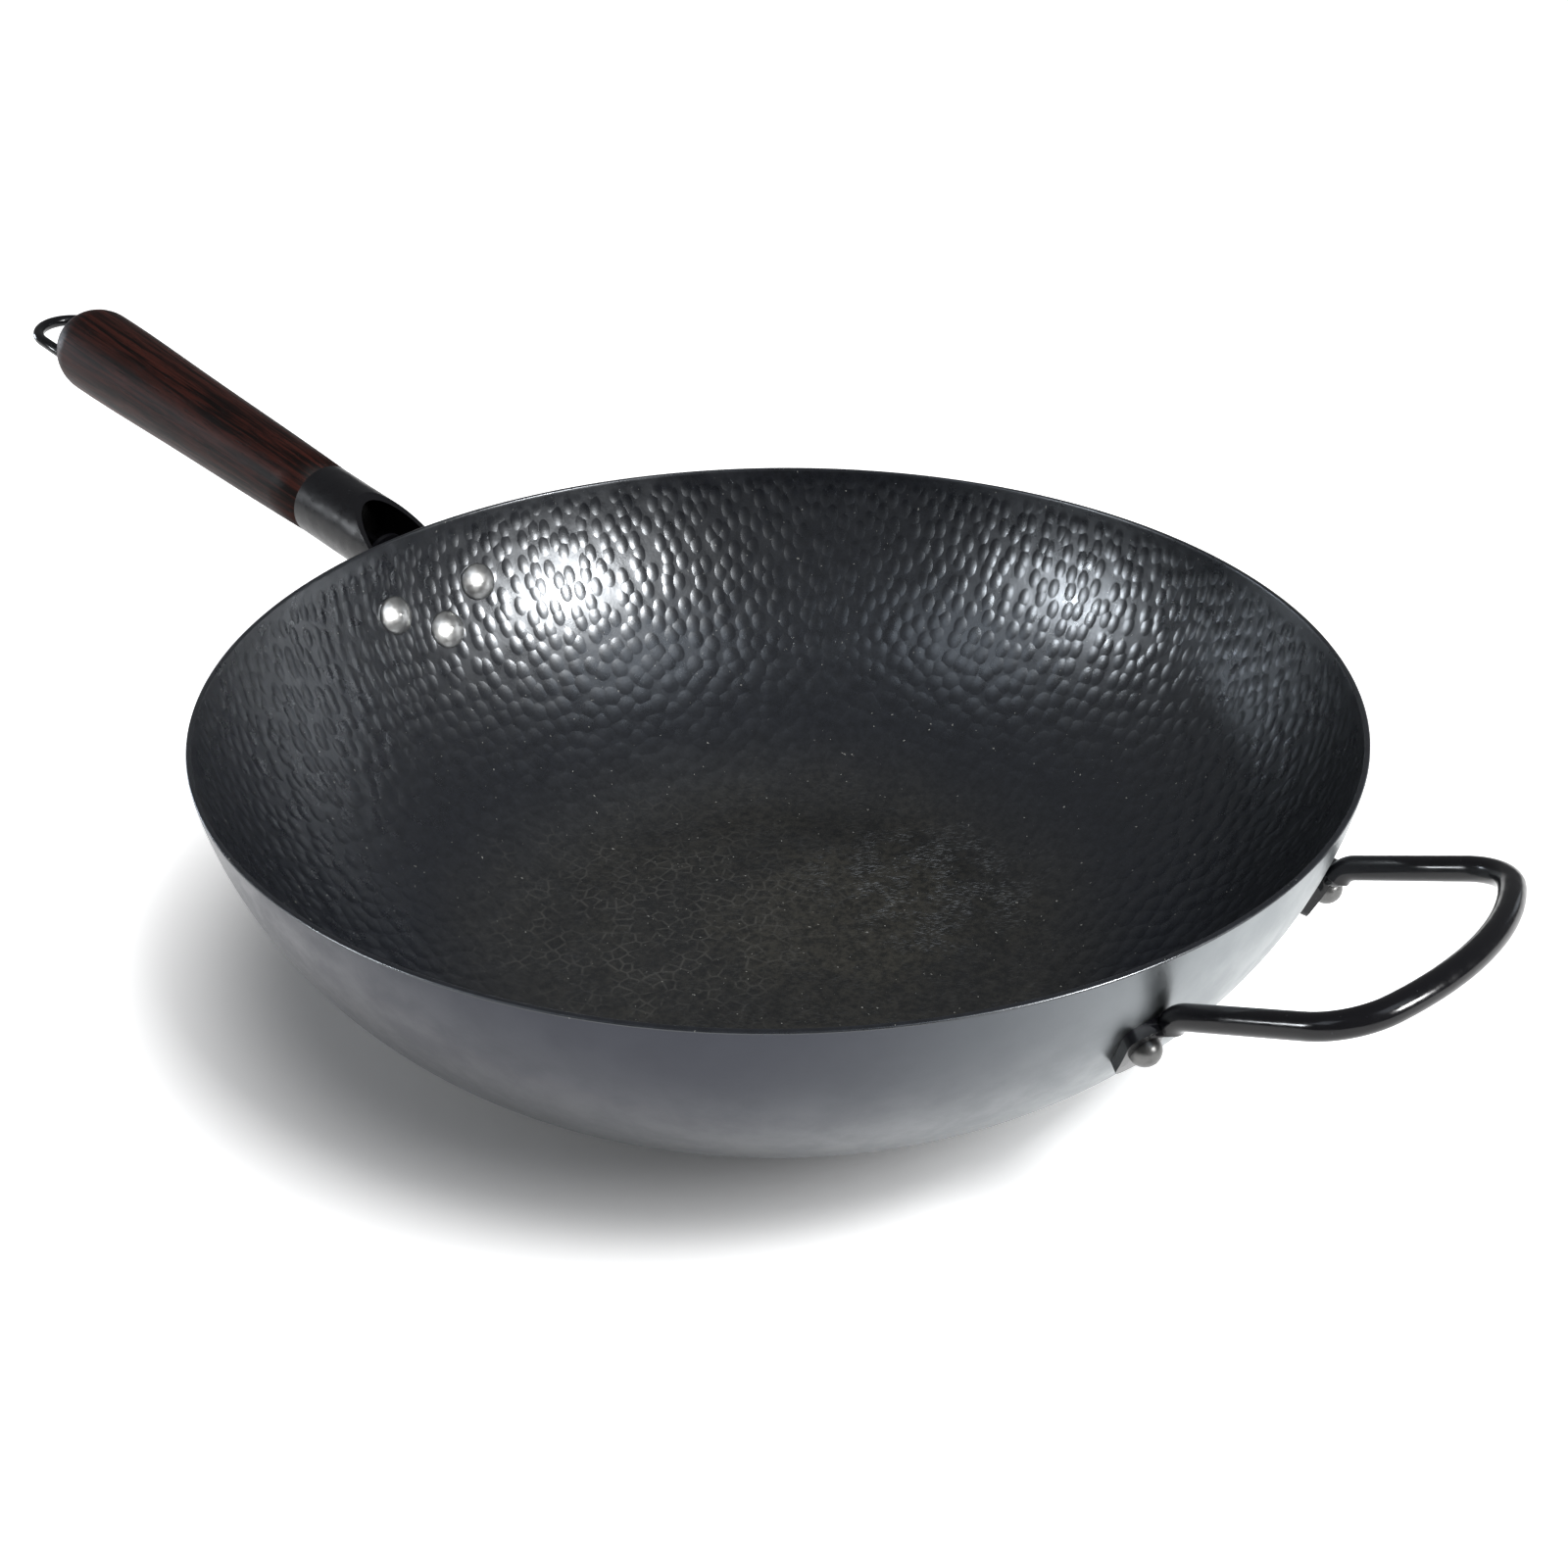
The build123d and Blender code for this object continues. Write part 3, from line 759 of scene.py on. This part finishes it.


# %% [markdown]
# ## Black enamel, polished rivets and oiled rosewood
#
# The socket, the rod and the loop are black and glossy, the socket a little wavy and duller.
# The rivets are polished steel, darker at the helper handle. The grip is turned from a dark
# red-brown wood with straight grain and fine open pores, rubbed with oil to a low sheen.
# Where the socket hides it, the wood is painted black as painted shade. The grain runs along
# the handle, so its coordinates start at the joint and are turned by the handle's rise.

# %% Black enamel and polished steel
enamel_black, enamel_speck = (0.008, 0.008, 0.010), (0.07, 0.07, 0.08)
steel_gloss = (0.30, 0.42)


def black_enamel(name, sheen, wave, wave_depth):
    """Black coat with soft waves in it, an uneven sheen and dust-fine lighter specks."""
    material, tree, shader = new_material(name, Metallic=0.0, IOR=1.4)
    place = object_place(tree)
    specks = smooth_map(tree, noise(tree, place, 0.8 * MM, 2, 0.5), 0.72, 0.80)
    color = mix_colors(tree, specks, enamel_black, enamel_speck)
    gloss = smooth_map(tree, noise(tree, place, 3 * MM, 5, 0.7), 0.3, 0.7, *sheen)
    waves = bump(tree, noise(tree, place, wave, 1, 0.4), wave_depth)
    dress(tree, shader, color, gloss, waves)
    return material


def polished_steel(name, dull, bright):
    """Steel with a slightly blotchy polish between two greys."""
    material, tree, shader = new_material(name, Metallic=1.0)
    blotch = noise(tree, object_place(tree), 2.2 * MM, 5, 0.65)
    color = mix_colors(tree, blotch, dull, bright)
    gloss = smooth_map(tree, blotch, 0.3, 0.7, *steel_gloss)
    dress(tree, shader, color, gloss, bump(tree, blotch, 0.03 * MM))
    return material


# %% Rosewood
handle_rise = math.radians(10.4)
handle_joint = (rim_radius + 49 * MM, 0, bowl_depth - 2.4 * MM)
streak_stretch, pore_stretch = 26, 14
wood_browns = (0.005, 0.0026, 0.0023), (0.056, 0.0145, 0.0105)
wood_red = (0.080, 0.021, 0.0145)
# The second black is painted shade where the wood is hidden in the socket.
pore_black, painted_shade_black = (0.005, 0.0025, 0.002), (0.004, 0.0035, 0.003)
painted_shade_fade = (-1.5 * MM, -0.5 * MM)
oiled_gloss = (0.52, 0.42)


def along_handle(tree, stretch):
    """Place counted from the handle's joint, X along the handle and squeezed by a factor."""
    values = {"Vector": object_place(tree), "Location": handle_joint,
              "Rotation": (0, -handle_rise, 0), "Scale": (stretch, 1, 1)}
    return add(tree, "ShaderNodeMapping", values, vector_type="TEXTURE").outputs[0]


def rosewood():
    """Dark red-brown wood: streaks and open pores along the handle, with a low sheen, and painted
    shade black inside the socket.
    """
    material, tree, shader = new_material("rosewood", IOR=1.22)
    along = along_handle(tree, streak_stretch)
    streaks = noise(tree, along, 1.5 * MM, 6, 0.62, 0.3)
    red = smooth_map(tree, noise(tree, along, 5.0 * MM, 3, 0.5, 0.3), 0.46, 0.68, 0, 0.6)
    pored = along_handle(tree, pore_stretch)
    pores = smooth_map(tree, noise(tree, pored, 0.5 * MM, 3, 0.5), 0.60, 0.68)
    from_joint = add(tree, "ShaderNodeSeparateXYZ", {"Vector": along_handle(tree, 1)}).outputs["X"]
    # Painted shade: the wood turns black where it goes into the socket.
    hidden_shade = smooth_map(tree, from_joint, *painted_shade_fade, 1, 0)
    color = mix_colors(tree, smooth_map(tree, streaks, 0.40, 0.66), *wood_browns)
    for share, over in ((red, wood_red), (calc(tree, "MULTIPLY", pores, 0.8), pore_black),
                        (hidden_shade, painted_shade_black)):
        color = mix_colors(tree, share, color, over)
    gloss = smooth_map(tree, streaks, 0.3, 0.7, *oiled_gloss)
    relief = calc(tree, "SUBTRACT", calc(tree, "MULTIPLY", streaks, 0.4), pores)
    dress(tree, shader, color, gloss, bump(tree, relief, 0.04 * MM))
    return material


# %% Dress the CAD pieces
socket_black = black_enamel("socket_black", (0.26, 0.36), 6 * MM, 0.25 * MM)
rod_black = black_enamel("rod_black", (0.12, 0.24), 3 * MM, 0.03 * MM)
bright_steel = polished_steel("bright_steel", (0.40, 0.40, 0.395), (0.66, 0.66, 0.645))
smoked_steel = polished_steel("smoked_steel", (0.06, 0.06, 0.06), (0.20, 0.20, 0.195))
merged_copy("handle_bracket", socket_black)
merged_copy("handle_rivets", bright_steel)
merged_copy("helper_rivets", smoked_steel)
merged_copy("wood_grip", rosewood())
merged_copy("grip_screw", rod_black)
merged_copy("hanging_loop", rod_black)
merged_copy("helper_handle", rod_black)

# %% [markdown]
# ## Floor and light
#
# The wok stands on white. A wide pale floor fills the frame from this angle, and a light
# of its own, for the camera and for reflections only, brings it to white while the bowl's
# shadow stays. That light grows with the distance from the middle of the shadow, which
# falls to the camera's left.
#
# Two soft boxes, one on each side of the camera, make the two highlights on the far wall,
# and their directions were worked out by reflecting the camera's rays there. A larger box
# above each gives its highlight a soft edge, and a small low one beyond the bowl on each
# side lights the side walls. All six are only for gloss. The key lamp, high up on the
# camera's right, does the opposite: it lights the floor and casts the shadow, and is kept
# out of reflections. A dim even sky fills the shadows.

# %% Floor
# The glow's centre, its near and far edges and the floor's half width are in metres.
glow_centre = (0.036, 0.012, 0)
near_floor, far_floor = 0.108, 0.190
near_glow = 0.05
floor_half = 6.0
floor_white = 0.90


def pale_floor():
    """Square of pale floor that shows white to the camera and keeps its shadows."""
    sides = ((-1, -1), (1, -1), (1, 1), (-1, 1))
    corners = [(x * floor_half, y * floor_half, 0) for x, y in sides]
    mesh = bpy.data.meshes.new("pale_floor")
    mesh.from_pydata(corners, [], [(0, 1, 2, 3)])
    floor = bpy.data.objects.new("pale_floor", mesh)
    bpy.context.scene.collection.objects.link(floor)
    material, tree, shader = new_material(
        "pale_floor", Roughness=0.9, Base_Color=(floor_white, floor_white, floor_white, 1))
    rays = add(tree, "ShaderNodeLightPath")
    seen = calc(tree, "MAXIMUM", rays.outputs["Is Camera Ray"], rays.outputs["Is Glossy Ray"])
    away = vector_calc(tree, "DISTANCE", object_place(tree), glow_centre)
    lift = smooth_map(tree, away, near_floor, far_floor, near_glow, 1)
    glow = add(tree, "ShaderNodeEmission", {"Strength": calc(tree, "MULTIPLY", seen, lift)})
    both = add(tree, "ShaderNodeAddShader", {0: shader.outputs[0], 1: glow.outputs[0]})
    output = tree.nodes["Material Output"]
    tree.links.new(both.outputs[0], output.inputs["Surface"])
    mesh.materials.append(material)


pale_floor()
print("floor shows white from", far_floor, "m off the shadow's middle")


# %% Soft boxes and sky
def soft_box(name, way, distance, size, power, tint=(1, 1, 1)):
    """Area light aimed at the bowl, its way an azimuth off the camera's right and a height."""
    light = bpy.data.lights.new(name, "AREA")
    light.shape = "RECTANGLE"
    light.size, light.size_y = size
    light.energy = power
    light.color = tint
    azimuth, elevation = math.radians(way[0]) - handle_azimuth, math.radians(way[1])
    flat = math.cos(elevation)
    toward = Vector((math.cos(azimuth) * flat, math.sin(azimuth) * flat, math.sin(elevation)))
    lamp = bpy.data.objects.new(name, light)
    target = Vector((0, 0, rim_height / 2))
    lamp.matrix_world = Matrix.Translation(target + toward * distance) @ (
        toward.to_track_quat("Z", "Y").to_matrix().to_4x4())
    bpy.context.scene.collection.objects.link(lamp)
    return lamp


# Each box: name, azimuth and height in degrees, distance and size in metres, watts, tint.
pale_blue = (0.82, 0.90, 1.0)
gloss_boxes = (
    ("right_soft_box", (-35, 27), 1.6, (0.34, 0.26), 38),
    ("left_soft_box", (-165.5, 20.5), 1.6, (0.30, 0.24), 12.5, (0.92, 0.96, 1.0)),
    ("right_halo_box", (-42, 54), 1.8, (0.8, 0.7), 3, pale_blue),
    ("left_halo_box", (-150, 46), 1.8, (0.7, 0.6), 2.4, pale_blue),
    ("far_right_box", (31, 12), 1.6, (0.3, 0.3), 0.3, pale_blue),
    ("far_left_box", (148, 6), 1.6, (0.3, 0.3), 5.0, pale_blue),
)
for box in gloss_boxes:
    soft_box(*box).visible_diffuse = False
soft_box("key_soft_box", (-46, 57), 2.0, (0.6, 0.45), 27).visible_glossy = False

world = bpy.data.worlds.new("studio")
world.use_nodes = True
sky = world.node_tree.nodes["Background"]
sky_tint, sky_strength = (0.97, 0.985, 1.0, 1), 0.175
sky.inputs["Color"].default_value = sky_tint
sky.inputs["Strength"].default_value = sky_strength
bpy.context.scene.world = world
bpy.context.scene.view_settings.view_transform = "Standard"
